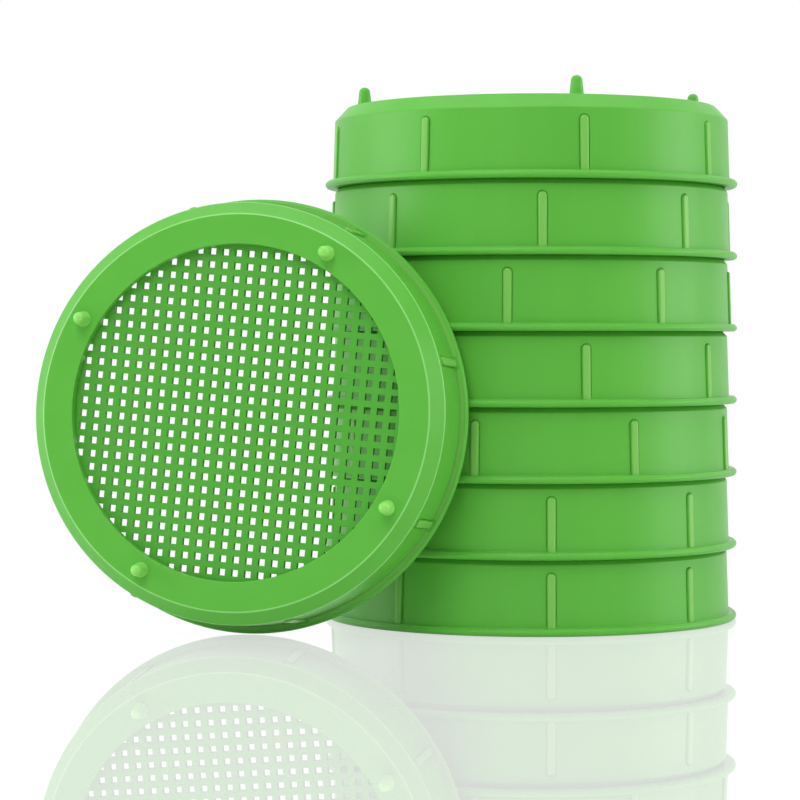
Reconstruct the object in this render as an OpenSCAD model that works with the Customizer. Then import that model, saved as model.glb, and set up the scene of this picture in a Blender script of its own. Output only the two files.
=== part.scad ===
// Set of eight strainer lids for wide-mouth jars: seven nested in a stack and one leaning on it.
// Each lid is a moulded screw ring with a separate mesh disc snapped up under its top wall.
// Millimetres. Origin on the stack's axis at the surface it stands on, +Z up.

/* [Ring] */
// Radius over the thread of the jar neck that the ring screws on
neck_r = 43.2; // [34:0.05:54]
// Clearance between the neck's thread and the ring's inside wall
neck_gap = 0.5; // [0.3:0.05:0.8]
// Height of the ring from its mouth to its flat top
ring_h = 18.6; // [17:0.1:24]
// Thickness of the skirt where the sloping shoulder starts
skirt_t = 2.05; // [1.8:0.05:2.6]
// How much the skirt widens down to the flange
skirt_flare = 0.45; // [0.1:0.05:0.9]
// How far the flange at the mouth stands out from the skirt
flange_w = 1.8; // [1.2:0.1:3]
// Thickness of the flange
flange_t = 1.7; // [1.2:0.1:2.1]
// Rounding-off of the flange's upper rim
flange_break = 0.5; // [0.2:0.1:0.9]
// Width of the sloping shoulder, measured level
shoulder_w = 2.85; // [2.3:0.05:3.5]
// Height of the sloping shoulder
shoulder_h = 3.1; // [2.5:0.1:3.8]
// Width of the flat top between the shoulder and the opening
rim_w = 6.55; // [5:0.05:8]
// Thickness of the top wall
top_t = 2.25; // [1.6:0.05:3]
// Small break on sharp rims
rim_break = 0.3; // [0.1:0.05:0.5]

/* [Jar thread] */
// How far the thread lugs stand in from the wall
lug_depth = 1.6; // [1.2:0.1:2]
// Rise of the thread in one turn
thread_pitch = 5.08; // [3:0.02:6.2]
// Number of thread lugs round one turn
lug_count = 12; // [6:1:16]
// Share of the turn that the lugs fill
lug_fill = 0.85; // [0.5:0.05:0.95]
// Height of the first lug's middle above the mouth
lug_start = 5; // [4.6:0.1:6]
// Height of a lug at the wall
lug_root = 2.2; // [1.4:0.1:3]
// Height of a lug at its crest
lug_tip = 0.9; // [0.5:0.1:1.3]
// Depth of the plain lead-in below the thread
lead_in = 3.4; // [3.2:0.1:3.8]

/* [Mesh disc] */
// Thickness of the mesh disc
disc_t = 1.5; // [1:0.1:2]
// Width of the ledge that the disc's groove leaves in the wall
disc_inset = 1.2; // [0.9:0.05:1.5]
// Clearance round the disc in its groove
disc_gap = 0.3; // [0.2:0.05:0.4]
// How far the snap lip reaches in under the disc's rim
lip_reach = 0.3; // [0.2:0.05:0.5]
// Distance from one hole to the next
mesh_pitch = 2.87; // [2.3:0.01:4]
// Width of a square hole
hole_w = 1.55; // [1:0.05:2]
// How far the mesh runs on under the top wall
mesh_overlap = 1.2; // [0:0.1:2]

/* [Grip ribs and pegs] */
// Number of grip ribs round the skirt
rib_count = 8; // [4:4:16]
// Width of a grip rib
rib_w = 2.4; // [1.6:0.1:3.2]
// How far a rib stands proud of the skirt
rib_proud = 0.6; // [0.3:0.05:0.9]
// Gap between a rib's top end and the shoulder
rib_drop = 1.5; // [0.5:0.1:4]
// Number of pegs on the flat top
peg_count = 4; // [2:2:8]
// Diameter of a peg at its root
peg_d = 2.9; // [2.2:0.1:3.6]
// Diameter of a peg's domed tip
peg_tip_d = 2; // [1:0.1:2.2]
// Height of the straight foot below a peg's taper
peg_foot = 0.8; // [0.3:0.1:1.5]
// Height of a peg with its domed tip
peg_h = 4.4; // [3:0.1:6]

/* [Stack] */
// How deep each lid sinks over the one below
nest = 1.93; // [1:0.01:2.35]
// Clearance between a mouth and the shoulder that it sits over
nest_gap = 0.28; // [0.2:0.02:0.4]

/* [Leaning lid] */
// Turn of the leaning lid away from the front
lean_yaw = 12; // [0:1:20]
// Angle at which it leans back against the stack
lean_back = 4; // [2:0.5:15]
// How far its middle lies outside the stack's flanges, measured along the lid
lean_out = 5.5; // [2:0.5:20]
// Clearance between its rim and the stack's flanges
lean_gap = 0.4; // [0.3:0.1:0.8]

/* [Hidden] */
$fn = 96;
wall_r = neck_r + neck_gap;
skirt_top_r = wall_r + skirt_t;
skirt_base_r = skirt_top_r + skirt_flare;
flange_r = skirt_base_r + flange_w;
top_r = skirt_top_r - shoulder_w;
opening_r = top_r - rim_w;
shoulder_z = ring_h - shoulder_h;
crest_r = wall_r - lug_depth;
stack_pitch = ring_h - nest;
mouth_r = top_r + nest * shoulder_w / shoulder_h + nest_gap;
disc_r = wall_r - disc_inset;
groove_r = disc_r + disc_gap;
lip_r = disc_r - lip_reach;
ceiling_z = ring_h - top_t;
disc_z = ceiling_z - disc_t;
lip_t = 0.4;
lip_slope_h = wall_r - lip_r;
lug_step = 360 / lug_count;
draft = atan(skirt_flare / (shoulder_z - flange_t));
peg_circle_r = opening_r + rim_w / 2;
// Depth by which lugs, ribs and pegs run on into the wall that they stand on.
sunk = 0.3;

// Turn of each stacked lid about the stack's axis, from the bottom lid up.
stack_turn = [-87, -87, -63, -77.4, -99, -89.5, -78];
// Turn of the leaning lid's ring and of its mesh in their own plane.
lean_ring_turn = 59.5;
lean_mesh_turn = -4.5;
// Depth at which the leaning lid's rear rim just clears the flanges, whichever rim point is nearest.
lean_side = flange_r + lean_out;
rim_side = [for (t = [0 : 90]) flange_r * cos(t) - lean_side];
rim_rise = [for (t = [0 : 90]) flange_r * sin(lean_back) * sin(t)];
clear_r = flange_r + lean_gap;
lean_depth = min([for (t = [0 : 90])
    if (abs(rim_side[t]) < clear_r) -sqrt(clear_r ^ 2 - rim_side[t] ^ 2) - rim_rise[t]]);

green = [0.41, 0.74, 0.31];
mesh_green = [0.33, 0.69, 0.27];

// Half section of the ring: flange, drafted skirt, shoulder, top wall, disc groove, lip, lead-in.
module ring_section() {
    polygon([
        [mouth_r, 0],
        [flange_r - rim_break, 0],
        [flange_r, rim_break],
        [flange_r, flange_t - flange_break],
        [flange_r - flange_break, flange_t],
        [skirt_base_r, flange_t],
        [skirt_top_r, shoulder_z],
        [top_r, ring_h],
        [opening_r + rim_break, ring_h],
        [opening_r, ring_h - rim_break],
        [opening_r, ceiling_z],
        [groove_r, ceiling_z],
        [groove_r, disc_z],
        [lip_r, disc_z],
        [lip_r, disc_z - lip_t],
        [wall_r, disc_z - lip_t - lip_slope_h],
        [wall_r, lead_in],
        [mouth_r, lead_in - (mouth_r - wall_r)]
    ]);
}

// One thread lug: a short level arc that stands in from the wall.
module thread_lug(z) {
    translate([0, 0, z])
        rotate_extrude(angle = lug_step * lug_fill)
            polygon([
                [wall_r + sunk, -lug_root / 2],
                [crest_r, -lug_tip / 2],
                [crest_r, lug_tip / 2],
                [wall_r + sunk, lug_root / 2]
            ]);
}

// The thread: lugs that climb by one pitch in one turn.
module jar_thread() {
    for (i = [0 : lug_count - 1])
        rotate(i * lug_step)
            thread_lug(lug_start + i * thread_pitch / lug_count);
}

// Upright grip ribs: raised bars with round upper ends, tilted with the skirt's draft.
module grip_ribs() {
    rib_foot = flange_t - sunk;
    rib_len = shoulder_z - rib_drop - rib_w / 2 - rib_foot;
    for (i = [0 : rib_count - 1])
        rotate(i * 360 / rib_count)
            translate([skirt_base_r - sunk, 0, rib_foot])
                rotate([0, -draft, 0]) {
                    translate([0, -rib_w / 2, 0]) cube([sunk + rib_proud, rib_w, rib_len]);
                    translate([0, 0, rib_len])
                        rotate([0, 90, 0]) cylinder(d = rib_w, h = sunk + rib_proud);
                }
}

// Round tapered pegs with domed tips, in line with every other rib.
module pegs() {
    dome_z = peg_h - peg_tip_d / 2;
    for (i = [0 : peg_count - 1])
        rotate(i * 360 / peg_count)
            translate([peg_circle_r, 0, ring_h]) {
                translate([0, 0, -sunk]) cylinder(d = peg_d, h = sunk + peg_foot);
                translate([0, 0, peg_foot])
                    cylinder(d1 = peg_d, d2 = peg_tip_d, h = dome_z - peg_foot);
                translate([0, 0, dome_z]) sphere(d = peg_tip_d);
            }
}

// The screw ring with its thread, ribs and pegs in one moulding.
module screw_ring() {
    color(green) {
        rotate_extrude() ring_section();
        grip_ribs();
        jar_thread();
        pegs();
    }
}

// The mesh disc: square holes as far as the opening reaches. With keep = 2 every second bar
// is left out, both ways, which keeps the covered discs light; the bars left are true ones.
module mesh_disc(keep = 1) {
    cell = keep * mesh_pitch;
    open_w = cell - (mesh_pitch - hole_w);
    shift = (keep - 1) * mesh_pitch / 2;
    field_r = opening_r + mesh_overlap - shift;
    reach = ceil(opening_r / cell);
    color(mesh_green)
        translate([0, 0, disc_z])
            linear_extrude(disc_t)
                difference() {
                    circle(disc_r);
                    for (i = [-reach : reach], j = [-reach : reach])
                        if (norm([i * cell + shift, j * cell + shift]) < field_r)
                            translate([i * cell + shift, j * cell + shift])
                                square(open_w, center = true);
                }
}

// Puts a lid part at its level and turn in the stack, counted from the bottom.
module in_stack(level) {
    translate([0, 0, (level - 1) * stack_pitch]) rotate(stack_turn[level - 1]) children();
}

// Stands a lid part on its rim at the stack's left front, leaning back on the stack.
module leaning() {
    rotate([0, 0, -lean_yaw])
        translate([-lean_side, lean_depth, flange_r * cos(lean_back)])
            rotate([90 - lean_back, 0, 0])
                children();
}

module ring_1() { in_stack(1) screw_ring(); }
module ring_2() { in_stack(2) screw_ring(); }
module ring_3() { in_stack(3) screw_ring(); }
module ring_4() { in_stack(4) screw_ring(); }
module ring_5() { in_stack(5) screw_ring(); }
module ring_6() { in_stack(6) screw_ring(); }
module ring_7() { in_stack(7) screw_ring(); }
module mesh_1() { in_stack(1) mesh_disc(keep = 2); }
module mesh_2() { in_stack(2) mesh_disc(keep = 2); }
module mesh_3() { in_stack(3) mesh_disc(keep = 2); }
module mesh_4() { in_stack(4) mesh_disc(keep = 2); }
module mesh_5() { in_stack(5) mesh_disc(keep = 2); }
module mesh_6() { in_stack(6) mesh_disc(keep = 2); }
module mesh_7() { in_stack(7) mesh_disc(); }
module loose_ring() { leaning() rotate(lean_ring_turn) screw_ring(); }
module loose_mesh() { leaning() rotate(lean_mesh_turn) mesh_disc(); }

ring_1();
ring_2();
ring_3();
ring_4();
ring_5();
ring_6();
ring_7();
mesh_1();
mesh_2();
mesh_3();
mesh_4();
mesh_5();
mesh_6();
mesh_7();
loose_ring();
loose_mesh();
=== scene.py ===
"""Strainer lids for wide-mouth jars: seven nested in a stack and one leaning on it."""
import math

import bpy
from mathutils import Matrix, Vector


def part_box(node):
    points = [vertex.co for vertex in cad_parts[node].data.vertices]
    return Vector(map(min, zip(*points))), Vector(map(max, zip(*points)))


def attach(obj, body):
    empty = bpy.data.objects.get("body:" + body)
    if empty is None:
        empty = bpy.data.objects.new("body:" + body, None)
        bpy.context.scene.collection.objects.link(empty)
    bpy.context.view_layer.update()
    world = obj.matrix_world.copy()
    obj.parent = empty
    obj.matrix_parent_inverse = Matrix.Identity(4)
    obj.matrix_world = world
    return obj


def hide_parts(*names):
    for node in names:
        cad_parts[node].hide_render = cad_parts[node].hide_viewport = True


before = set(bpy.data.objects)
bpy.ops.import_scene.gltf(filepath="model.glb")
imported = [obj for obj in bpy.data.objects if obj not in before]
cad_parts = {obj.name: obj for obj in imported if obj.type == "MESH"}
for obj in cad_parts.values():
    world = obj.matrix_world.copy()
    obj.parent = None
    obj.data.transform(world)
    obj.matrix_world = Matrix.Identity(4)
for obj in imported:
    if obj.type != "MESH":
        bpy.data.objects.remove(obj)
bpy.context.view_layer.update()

# ---------------------------------------------------------------- places of the lids
# Each stacked lid sits on the shoulder of the one below, turned as it happened to be put
# down. The loose lid stands on its rim, turned to the left and leaning back on the stack.
MM = 0.001
stack_turns = [-87, -87, -63, -77.4, -99, -89.5, -78]
lean_yaw = math.radians(12)
lean_back = math.radians(4)
lean_ring_turn = 59.5
lean_mesh_turn = -4.5
disc_middle = 15.6 * MM


def stacked(level):
    """Place of a lid in the stack, counted from the bottom."""
    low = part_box(f"ring_{level}")[0]
    turn = math.radians(stack_turns[level - 1])
    return Matrix.Translation((0, 0, low[2])) @ Matrix.Rotation(turn, 4, "Z")


def leaning(turn):
    """Place of a part of the loose lid, turned in its own plane."""
    tilt = Matrix.Rotation(-lean_yaw, 4, "Z") @ Matrix.Rotation(
        math.pi / 2 - lean_back, 4, "X")
    low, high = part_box("loose_mesh")
    middle = (Vector(low) + Vector(high)) / 2
    mouth = middle - tilt @ Vector((0, 0, disc_middle))
    return Matrix.Translation(mouth) @ tilt @ Matrix.Rotation(math.radians(turn), 4, "Z")


# ---------------------------------------------------------------- moulded plastic
# Lids are moulded in a satin, slightly translucent green polypropylene. The mould leaves a
# fine orange-peel skin, faint flow marks and small differences in gloss.
def moulded_plastic(name, colour, deeper, roughness):
    """Green plastic whose marks follow the moulding, wherever the lid is set down."""
    mat = bpy.data.materials.new(name)
    mat.use_nodes = True
    nodes, links = mat.node_tree.nodes, mat.node_tree.links
    shader = nodes["Principled BSDF"]
    shader.inputs["Subsurface Weight"].default_value = 0.12
    shader.inputs["Subsurface Radius"].default_value = (0.6, 1.0, 0.4)
    shader.inputs["Subsurface Scale"].default_value = 1.2 * MM
    shader.inputs["IOR"].default_value = 1.49
    shader.inputs["Specular IOR Level"].default_value = 0.34
    place = nodes.new("ShaderNodeAttribute")
    place.attribute_name = "moulding_place"

    def noise(scale, detail, drawn_out=1):
        stretch = nodes.new("ShaderNodeMapping")
        stretch.inputs["Scale"].default_value = (1, 1, drawn_out)
        links.new(place.outputs["Vector"], stretch.inputs["Vector"])
        tex = nodes.new("ShaderNodeTexNoise")
        tex.inputs["Scale"].default_value = scale
        tex.inputs["Detail"].default_value = detail
        links.new(stretch.outputs["Vector"], tex.inputs["Vector"])
        return tex.outputs["Fac"]

    flow_marks = noise(scale=150, detail=3, drawn_out=0.08)
    tint = nodes.new("ShaderNodeMix")
    tint.data_type = "RGBA"
    tint.inputs["A"].default_value = (*colour, 1)
    tint.inputs["B"].default_value = (*deeper, 1)
    links.new(flow_marks, tint.inputs["Factor"])
    links.new(tint.outputs["Result"], shader.inputs["Base Color"])
    gloss = nodes.new("ShaderNodeMapRange")
    gloss.inputs["To Min"].default_value = roughness - 0.05
    gloss.inputs["To Max"].default_value = roughness + 0.07
    links.new(noise(scale=120, detail=2), gloss.inputs["Value"])
    links.new(gloss.outputs["Result"], shader.inputs["Roughness"])
    peel = nodes.new("ShaderNodeBump")
    peel.inputs["Strength"].default_value = 0.5
    peel.inputs["Distance"].default_value = 0.03 * MM
    links.new(noise(scale=1900, detail=2), peel.inputs["Height"])
    links.new(peel.outputs["Normal"], shader.inputs["Normal"])
    return mat


ring_green = moulded_plastic("ring_green", (0.107, 0.455, 0.045), (0.092, 0.415, 0.038), 0.38)
# The rim green is a painted highlight: a paler green on the rounded rims of the top face and
# shoulder.
rim_highlight_green = moulded_plastic("rim_highlight_green", (0.26, 0.64, 0.18), (0.22, 0.58, 0.15), 0.3)
# The peg green is a painted highlight on the pegs.
peg_highlight_green = moulded_plastic("peg_highlight_green", (0.27, 0.7, 0.13), (0.23, 0.65, 0.11), 0.34)
# The rib green is a painted highlight down the crowns of the grip ribs.
rib_crown_highlight_green = moulded_plastic("rib_crown_highlight_green", (0.19, 0.52, 0.09), (0.17, 0.48, 0.08), 0.3)
mesh_green = moulded_plastic("mesh_green", (0.078, 0.385, 0.033), (0.066, 0.345, 0.028), 0.42)


# ---------------------------------------------------------------- screw ring
# One moulding: a flat top wall with a round opening, a sloping shoulder, a skirt with a
# little draft and a stiff flange at the mouth. Inside, a groove holds the mesh disc.
ring_h, shoulder_h, top_wall, disc_t = 18.6, 3.1, 2.25, 1.5
shoulder_z = ring_h - shoulder_h
ceiling_z = ring_h - top_wall
disc_z = ceiling_z - disc_t
opening_r, top_r, skirt_top_r, skirt_base_r = 36.35, 42.9, 45.75, 46.2
flange_r, flange_h, flange_foot_roll, flange_roll, flange_edge_z = 48, 1.7, 0.5, 0.6, 1.1
wall_r, mouth_r, mouth_h, lead_in_z = 43.7, 44.95, 2.15, 3.4
groove_r, lip_r, lip_t, lip_foot = 42.8, 42.2, 0.4, 1.9
ring_outline = [
    (mouth_r, 0), (flange_r - flange_foot_roll, 0), (flange_r, flange_foot_roll),
    (flange_r, flange_edge_z), (flange_r - flange_roll, flange_h), (skirt_base_r, flange_h),
    (skirt_top_r, shoulder_z), (top_r, ring_h), (opening_r, ring_h),
    (opening_r, ceiling_z), (groove_r, ceiling_z), (groove_r, disc_z), (lip_r, disc_z),
    (lip_r, disc_z - lip_t), (wall_r, disc_z - lip_foot), (wall_r, lead_in_z), (mouth_r, mouth_h),
]
round_steps = 192
same_point = 0.002 * MM
rim_rounding, rim_reach, rim_face_area = 0.42, 0.5, 1.2 * MM * MM
rim_face, peg_face, rib_face = 1, 2, 3


def close_up(obj):
    """Merges doubled points and points all faces outwards."""
    bpy.ops.object.mode_set(mode="EDIT")
    bpy.ops.mesh.select_all(action="SELECT")
    bpy.ops.mesh.remove_doubles(threshold=same_point)
    bpy.ops.mesh.normals_make_consistent(inside=False)
    bpy.ops.object.mode_set(mode="OBJECT")


def turned(name, outline, steps, closed=True):
    """Turns an outline of (radius, height) points round Z. Closed joins its last ring to its
    first; otherwise the last ring shrinks to a point on the axis."""
    bpy.ops.object.select_all(action="DESELECT")
    radius, height = outline[0]
    bpy.ops.mesh.primitive_circle_add(
        vertices=steps, radius=radius * MM, location=(0, 0, height * MM))
    bpy.ops.object.transform_apply(location=True)
    obj = bpy.context.object
    obj.name = name
    bpy.ops.object.mode_set(mode="EDIT")
    for new_radius, new_height in outline[1:] + ([outline[0]] if closed else []):
        bpy.ops.mesh.extrude_region_move(
            TRANSFORM_OT_translate={"value": (0, 0, (new_height - height) * MM)})
        grow = new_radius / radius
        bpy.ops.transform.resize(value=(grow, grow, 1), center_override=(0, 0, 0))
        radius, height = new_radius, new_height
    if not closed:
        bpy.ops.mesh.merge(type="CENTER")
    bpy.ops.object.mode_set(mode="OBJECT")
    close_up(obj)
    return obj


def apply_all(obj):
    """Applies every modifier of a piece in order."""
    bpy.ops.object.select_all(action="DESELECT")
    obj.select_set(True)
    bpy.context.view_layer.objects.active = obj
    for modifier in list(obj.modifiers):
        bpy.ops.object.modifier_apply(modifier=modifier.name)


ring = turned("ring", ring_outline, round_steps)
rims = ring.modifiers.new("rounded_rims", "BEVEL")
rims.width = rim_rounding * MM
rims.segments = 3
rims.limit_method = "ANGLE"
rims.angle_limit = math.radians(25)
apply_all(ring)
for finish in (ring_green, rim_highlight_green, peg_highlight_green, rib_crown_highlight_green):
    ring.data.materials.append(finish)
# Faces of the rounded rims along the top face's edge and the shoulder edge take the rim green, a
# painted highlight.
for face in ring.data.polygons:
    out = face.center.xy.length / MM
    up = face.center.z / MM
    for rim_r, rim_z in ((top_r, ring_h), (skirt_top_r, shoulder_z)):
        if math.hypot(out - rim_r, up - rim_z) < rim_reach and face.area < rim_face_area:
            face.material_index = rim_face

# ---------------------------------------------------------------- grip ribs
# Eight raised bars run up the skirt from the flange and end in a round head just below the
# shoulder. They are moulded with the ring, lean in with its draft and have rounded rims; a
# hair-fine channel runs round each of them.
rib_w, rib_proud, rib_sunk, rib_rounding, rib_clear = 2.0, 0.6, 0.6, 0.52, 1.7
rib_foot, rib_head = 1.35, shoulder_z - rib_clear - rib_w / 2
draft = math.atan((skirt_base_r - skirt_top_r) / (shoulder_z - flange_h))
channel_w, channel_d, channel_foot = 0.2, 0.2, 1.75
past_skirt = 1


def upright_bar(name, width, inner, outer, foot, head, turn, rounding):
    """A bar with round ends that stands on the skirt, leaning in with its draft."""
    bpy.ops.object.select_all(action="DESELECT")
    bpy.ops.mesh.primitive_circle_add(
        vertices=24, radius=width / 2 * MM, fill_type="NGON", rotation=(0, math.pi / 2, 0))
    bpy.ops.object.transform_apply(rotation=True)
    bar = bpy.context.object
    bar.name = name
    for vert in bar.data.vertices:
        upper_half = vert.co.z > -0.001 * MM
        vert.co.z += (head if upper_half else foot) * MM
    bpy.ops.object.mode_set(mode="EDIT")
    bpy.ops.mesh.select_all(action="SELECT")
    bpy.ops.mesh.extrude_region_move(
        TRANSFORM_OT_translate={"value": ((outer - inner) * MM, 0, 0)})
    bpy.ops.object.mode_set(mode="OBJECT")
    close_up(bar)
    if rounding:
        soft = bar.modifiers.new("soft_rim", "BEVEL")
        soft.width = rounding * MM
        soft.segments = 4
        soft.limit_method = "ANGLE"
        soft.angle_limit = math.radians(60)
        apply_all(bar)
    bar.rotation_euler = (0, -draft, math.radians(turn))
    bar.location = Matrix.Rotation(math.radians(turn), 3, "Z") @ Vector((inner * MM, 0, 0))
    bpy.ops.object.transform_apply(location=True, rotation=True)
    return bar


def join(objs, name):
    """Makes one object of several."""
    bpy.ops.object.select_all(action="DESELECT")
    for obj in objs:
        obj.select_set(True)
    bpy.context.view_layer.objects.active = objs[0]
    bpy.ops.object.join()
    objs[0].name = name
    return objs[0]


def combine(obj, operation, other, own_overlaps=False):
    """Cuts a solid with another, or fuses it with one, which is then removed."""
    step = obj.modifiers.new("combine", "BOOLEAN")
    step.operation = operation
    step.solver = "EXACT"
    step.use_self = own_overlaps
    step.object = other
    apply_all(obj)
    bpy.data.objects.remove(other)


trim_parts = [
    upright_bar(f"rib_{turn}", rib_w, skirt_base_r - rib_sunk, skirt_base_r + rib_proud,
                rib_foot, rib_head, turn, rib_rounding)
    for turn in range(0, 360, 45)]
channels = join([
    upright_bar(f"channel_{turn}", rib_w + 2 * channel_w, skirt_base_r - channel_d,
                skirt_base_r + past_skirt, channel_foot + rib_w / 2 + channel_w, rib_head, turn, 0)
    for turn in range(0, 360, 45)], "channels")
combine(ring, "DIFFERENCE", channels)

# ---------------------------------------------------------------- pegs
# Four short tapered pegs with domed tips stand on the flat top in line with every other
# rib. Each swells a little where it meets the ring.
peg_r, peg_tip_r, peg_h, peg_circle_r = 1.55, 1.25, 4.4, 39.625
peg_sunk, axis_r = 0.8, 0.02
peg_foot_r = peg_r + 0.28
peg_outline = [(axis_r, -peg_sunk), (peg_foot_r, -peg_sunk), (peg_foot_r, 0.02),
               (peg_r + 0.1, 0.14), (peg_r, 0.45), (peg_r - 0.03, 1)]
peg_outline += [
    ((peg_tip_r + 0.02) * math.cos(a), peg_h - peg_tip_r * (1 - math.sin(a)))
    for a in [math.radians(d) for d in (5, 22, 40, 58, 76)]]
for turn in range(0, 360, 90):
    peg = turned(f"peg_{turn}", peg_outline, 28, closed=False)
    peg.location = Matrix.Rotation(math.radians(turn), 3, "Z") @ Vector(
        (peg_circle_r * MM, 0, ring_h * MM))
    bpy.ops.object.transform_apply(location=True)
    trim_parts.append(peg)

# ---------------------------------------------------------------- jar thread
# A single-start thread climbs the inside of the skirt for most of a turn. Its ends sink into
# the wall, so the jar's own thread finds its way in. The thread, the pegs and the ribs are
# then fused with the ring, because they are one moulding.
crest_r, thread_pitch, thread_start, thread_arc = 42.15, 5.08, 5, 340
thread_sunk, root_half, crest_half, ends_outwards = 0.4, 1.2, 0.45, 1.035
bpy.ops.object.select_all(action="DESELECT")
bpy.ops.mesh.primitive_plane_add(size=1 * MM, rotation=(math.pi / 2, 0, 0))
bpy.ops.object.transform_apply(rotation=True)
thread = bpy.context.object
thread.name = "thread"
for corner in thread.data.vertices:
    at_wall = corner.co.x > 0
    reach = (wall_r + thread_sunk if at_wall else crest_r)
    half = (root_half if at_wall else crest_half) * (1 if corner.co.z > 0 else -1)
    corner.co = (reach * MM, 0, (thread_start + half) * MM)
bpy.ops.object.mode_set(mode="EDIT")
bpy.ops.mesh.select_all(action="SELECT")
bpy.ops.mesh.delete(type="ONLY_FACE")
bpy.ops.object.mode_set(mode="OBJECT")
climb = thread.modifiers.new("climb", "SCREW")
climb.angle = math.radians(thread_arc)
climb.screw_offset = thread_pitch * thread_arc / 360 * MM
climb.steps = climb.render_steps = 120
climb.use_normal_calculate = True
apply_all(thread)
bpy.ops.object.mode_set(mode="EDIT")
bpy.ops.mesh.select_all(action="DESELECT")
bpy.ops.mesh.select_non_manifold()
bpy.ops.transform.resize(value=(ends_outwards, ends_outwards, 1), center_override=(0, 0, 0))
bpy.ops.mesh.edge_face_add()
bpy.ops.object.mode_set(mode="OBJECT")
close_up(thread)

combine(ring, "UNION", join(trim_parts + [thread], "ring_trim"), own_overlaps=True)
# The outer crowns of the ribs take the rib green, a painted highlight.
peg_clear, rib_shoulder_gap, rib_crown = 0.15, 1, 0.75
# Faces above the top wall, which are the pegs, take the peg green, a painted highlight.
for face in ring.data.polygons:
    out = face.center.xy.length / MM
    up = face.center.z / MM
    skirt_r = skirt_base_r - (up - flange_h) * math.tan(draft)
    if up > ring_h + peg_clear:
        face.material_index = peg_face
    elif flange_h < up < shoulder_z - rib_shoulder_gap and out > skirt_r + rib_crown * rib_proud:
        face.material_index = rib_face
bpy.ops.object.select_all(action="DESELECT")
ring.select_set(True)
bpy.ops.object.shade_smooth_by_angle(angle=math.radians(32))
flats = ring.modifiers.new("flats", "WEIGHTED_NORMAL")
flats.weight = 90
flats.keep_sharp = True
apply_all(ring)

# ---------------------------------------------------------------- mesh disc
# A flat disc moulded in one with its square mesh. The mesh is a hair thinner than the plain
# rim round it, and runs on under the ring, whose opening cuts through the outermost holes.
mesh_pitch, hole_w, disc_r, disc_break = 2.87, 1.43, 42.5, 0.2
field_r, field_t, hole_break = 37.4, 1.4, 0.07
cells = 27
hole_rim_w = hole_w + 2 * hole_break
first_cell = -(cells - 1) / 2 * mesh_pitch * MM
top_z = (disc_z + (disc_t + field_t) / 2) * MM
bpy.ops.object.select_all(action="DESELECT")
bpy.ops.mesh.primitive_plane_add(size=mesh_pitch * MM, location=(first_cell, first_cell, top_z))
bpy.ops.object.transform_apply(location=True)
field = bpy.context.object
field.name = "mesh_field"
bpy.ops.object.mode_set(mode="EDIT")
bpy.ops.mesh.inset(thickness=((mesh_pitch - hole_w) / 2 - hole_break) * MM, depth=0)
bpy.ops.mesh.delete(type="ONLY_FACE")
bpy.ops.object.mode_set(mode="OBJECT")
hole_reach = hole_rim_w / 2 * MM * 1.01
for vert in field.data.vertices:
    vert.select = abs(vert.co.x - first_cell) < hole_reach
wall_steps = [(hole_w, -hole_break), (hole_w, hole_break - field_t),
              (hole_rim_w, -field_t), (mesh_pitch, -field_t)]
width, depth = hole_rim_w, 0
bpy.ops.object.mode_set(mode="EDIT")
for new_width, new_depth in wall_steps:
    bpy.ops.mesh.extrude_region_move(
        TRANSFORM_OT_translate={"value": (0, 0, (new_depth - depth) * MM)})
    grow = new_width / width
    bpy.ops.transform.resize(
        value=(grow, grow, 1), center_override=(first_cell, first_cell, top_z))
    width, depth = new_width, new_depth
bpy.ops.object.mode_set(mode="OBJECT")
for axis in (0, 1):
    row = field.modifiers.new(f"row_{axis}", "ARRAY")
    row.count = cells
    row.use_relative_offset = False
    row.use_constant_offset = True
    row.constant_offset_displace = [mesh_pitch * MM if i == axis else 0 for i in range(3)]
    row.use_merge_vertices = True
    row.merge_threshold = same_point
apply_all(field)
bpy.ops.object.mode_set(mode="EDIT")
bpy.ops.mesh.select_all(action="DESELECT")
bpy.ops.mesh.select_non_manifold()
bpy.ops.mesh.bridge_edge_loops()
bpy.ops.object.mode_set(mode="OBJECT")
close_up(field)
field_shape = [(axis_r, disc_z - 1), (field_r, disc_z - 1),
               (field_r, disc_z + 3), (axis_r, disc_z + 3)]
combine(field, "INTERSECT", turned("field_shape", field_shape, round_steps, closed=False))
rim_in_r, disc_top_z = field_r - 0.25, disc_z + disc_t
rim_shape = [(rim_in_r, disc_z), (disc_r - disc_break, disc_z), (disc_r, disc_z + disc_break),
             (disc_r, disc_top_z - disc_break), (disc_r - disc_break, disc_top_z),
             (rim_in_r, disc_top_z)]
combine(field, "UNION", turned("disc_rim", rim_shape, round_steps))
bpy.ops.object.shade_smooth_by_angle(angle=math.radians(30))
field.data.materials.clear()
field.data.materials.append(mesh_green)


# ---------------------------------------------------------------- the eight lids
# Every ring and disc is a copy of the one moulding, set down at its own level and turn. A
# disc stays with its ring when the lid is lifted. The loose lid's rims and pegs keep their
# paler green, a painted highlight; in the stack they take the plain ring green.
def set_down(pattern, name, place, body, node):
    """Copies a moulding, keeps its marks with it and puts the copy in its place."""
    piece = bpy.data.objects.new(name, pattern.data.copy())
    marks = piece.data.attributes.new("moulding_place", "FLOAT_VECTOR", "POINT")
    marks.data.foreach_set("vector", [c for vert in piece.data.vertices for c in vert.co])
    bpy.context.collection.objects.link(piece)
    piece.data.transform(place)
    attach(piece, body)
    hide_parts(node)
    return piece


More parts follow.
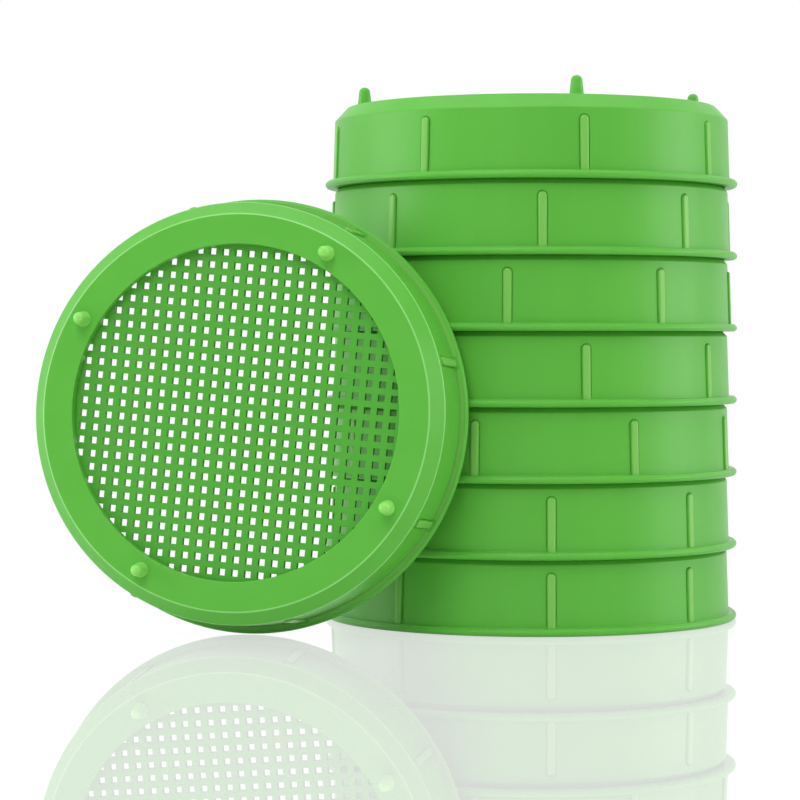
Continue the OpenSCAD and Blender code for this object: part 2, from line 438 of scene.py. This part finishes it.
for level in range(1, 8):
    place = stacked(level)
    stacked_ring = set_down(
        ring, f"screw_ring_{level}", place, f"lid_{level}", f"ring_{level}")
    # In the stack the rims and pegs lose their painted highlight and take the plain ring green.
    stacked_ring.data.materials[rim_face] = ring_green
    stacked_ring.data.materials[peg_face] = ring_green
    set_down(field, f"mesh_disc_{level}", place, f"lid_{level}", f"mesh_{level}")
set_down(ring, "screw_ring_loose", leaning(lean_ring_turn), "loose_lid", "loose_ring")
set_down(field, "mesh_disc_loose", leaning(lean_mesh_turn), "loose_lid", "loose_mesh")
bpy.data.objects.remove(ring)
bpy.data.objects.remove(field)

# ---------------------------------------------------------------- white studio floor
# A glossy white sheet that fades into the white background. It keeps a soft contact shadow
# and a faint mirror image of the lids' feet.
floor_size, floor_drop = 6, 0.05 * MM
floor_glow, glow_share, mirror_share = 1.04, 0.92, 0.36
bpy.ops.object.select_all(action="DESELECT")
bpy.ops.mesh.primitive_plane_add(size=floor_size, location=(0, 0, -floor_drop))
floor = bpy.context.object
floor.name = "studio_floor"
sheet = bpy.data.materials.new("white_sheet")
sheet.use_nodes = True


def seen_share(nodes, links):
    """1 for what is seen straight on, in a mirror or through glass; 0 for light that falls."""
    paths = nodes.new("ShaderNodeLightPath")
    mirrored = nodes.new("ShaderNodeMath")
    mirrored.operation = "MAXIMUM"
    links.new(paths.outputs["Is Camera Ray"], mirrored.inputs[0])
    links.new(paths.outputs["Is Glossy Ray"], mirrored.inputs[1])
    through = nodes.new("ShaderNodeMath")
    through.operation = "MAXIMUM"
    links.new(mirrored.outputs[0], through.inputs[0])
    links.new(paths.outputs["Is Transmission Ray"], through.inputs[1])
    return through.outputs[0]


def mixed(nodes, links, share, first, second):
    """Mixes two shaders; share is a socket or a number, and 1 is all of the second."""
    mix = nodes.new("ShaderNodeMixShader")
    if isinstance(share, float):
        mix.inputs["Fac"].default_value = share
    else:
        links.new(share, mix.inputs["Fac"])
    links.new(first, mix.inputs[1])
    links.new(second, mix.inputs[2])
    return mix.outputs[0]


nodes, links = sheet.node_tree.nodes, sheet.node_tree.links
nodes.remove(nodes["Principled BSDF"])
lit = nodes.new("ShaderNodeBsdfDiffuse")
lit.inputs["Color"].default_value = (0.9, 0.9, 0.9, 1)
plain = nodes.new("ShaderNodeEmission")
plain.inputs["Strength"].default_value = floor_glow
mirror = nodes.new("ShaderNodeBsdfGlossy")
mirror.inputs["Color"].default_value = (1, 1, 1, 1)
mirror.inputs["Roughness"].default_value = 0.01
share = nodes.new("ShaderNodeMath")
share.operation = "MULTIPLY"
share.inputs[1].default_value = glow_share
links.new(seen_share(nodes, links), share.inputs[0])
shadowed = mixed(nodes, links, share.outputs[0], lit.outputs[0], plain.outputs[0])
polished = mixed(nodes, links, mirror_share, shadowed, mirror.outputs[0])
links.new(polished, nodes["Material Output"].inputs["Surface"])
floor.data.materials.append(sheet)

# ---------------------------------------------------------------- white room
# The room's own light is even and soft. What is seen of it is white ahead and dimmer behind
# the viewer, so the gloss on the lids' fronts stays low.
room_light, white_wall, dim_wall = 0.52, 1, 0.3
world = bpy.data.worlds.new("white_room")
bpy.context.scene.world = world
world.use_nodes = True
nodes, links = world.node_tree.nodes, world.node_tree.links
room = nodes["Background"]
bright = nodes.new("ShaderNodeBackground")
dim = nodes.new("ShaderNodeBackground")
for wall, strength in ((room, room_light), (bright, white_wall), (dim, dim_wall)):
    wall.inputs["Color"].default_value = (1, 1, 1, 1)
    wall.inputs["Strength"].default_value = strength
direction = nodes.new("ShaderNodeTexCoord")
direction_parts = nodes.new("ShaderNodeSeparateXYZ")
links.new(direction.outputs["Generated"], direction_parts.inputs[0])
ahead = nodes.new("ShaderNodeMapRange")
ahead.inputs["From Min"].default_value = -0.1
ahead.inputs["From Max"].default_value = 0.4
links.new(direction_parts.outputs["Y"], ahead.inputs["Value"])
walls = mixed(nodes, links, ahead.outputs["Result"], dim.outputs[0], bright.outputs[0])
around = mixed(nodes, links, seen_share(nodes, links), room.outputs[0], walls)
links.new(around, nodes["World Output"].inputs["Surface"])


# ---------------------------------------------------------------- lamps
# A soft box on either side draws a bright band down each flank of the stack, and one
# overhead brings out the shoulders and the upper rims of the flanges. The key light comes
# from high up in front, so pegs and rims throw their shadows down the loose lid's face.
def soft_box(name, place, aim, size, watts):
    """A square lamp that faces a point."""
    bpy.ops.object.light_add(type="AREA", location=place)
    lamp = bpy.context.object
    lamp.name = name
    lamp.data.size = size
    lamp.data.energy = watts
    lamp.rotation_euler = (Vector(aim) - Vector(place)).to_track_quat("-Z", "Y").to_euler()


stack_middle, loose_middle = (0, 0, 0.06), (-0.04, 0, 0.06)
soft_box("left_box", (-0.8, -0.06, 0.2), stack_middle, size=0.5, watts=2.6)
soft_box("right_box", (0.8, -0.06, 0.2), stack_middle, size=0.5, watts=2.6)
soft_box("top_box", (0, -0.15, 0.8), stack_middle, size=0.9, watts=3)
soft_box("key_box", (-0.25, -0.65, 0.65), loose_middle, size=0.35, watts=2.2)

# ---------------------------------------------------------------- camera
# Just above the middle of the stack and tipped down by about a degree, a little left of its
# axis, and far enough away that the lids' rims curve only gently.
camera_back, camera_left, camera_up, camera_tip = 0.65, 0.0306, 0.0647, 1.24
bpy.ops.object.camera_add(
    location=(-camera_left, -camera_back, camera_up),
    rotation=(math.radians(90 - camera_tip), 0, 0))
camera = bpy.context.object
camera.data.sensor_width = 36
camera.data.lens = 124.8
camera.data.clip_start = 0.01
bpy.context.scene.camera = camera
bpy.context.scene.view_settings.view_transform = "Standard"
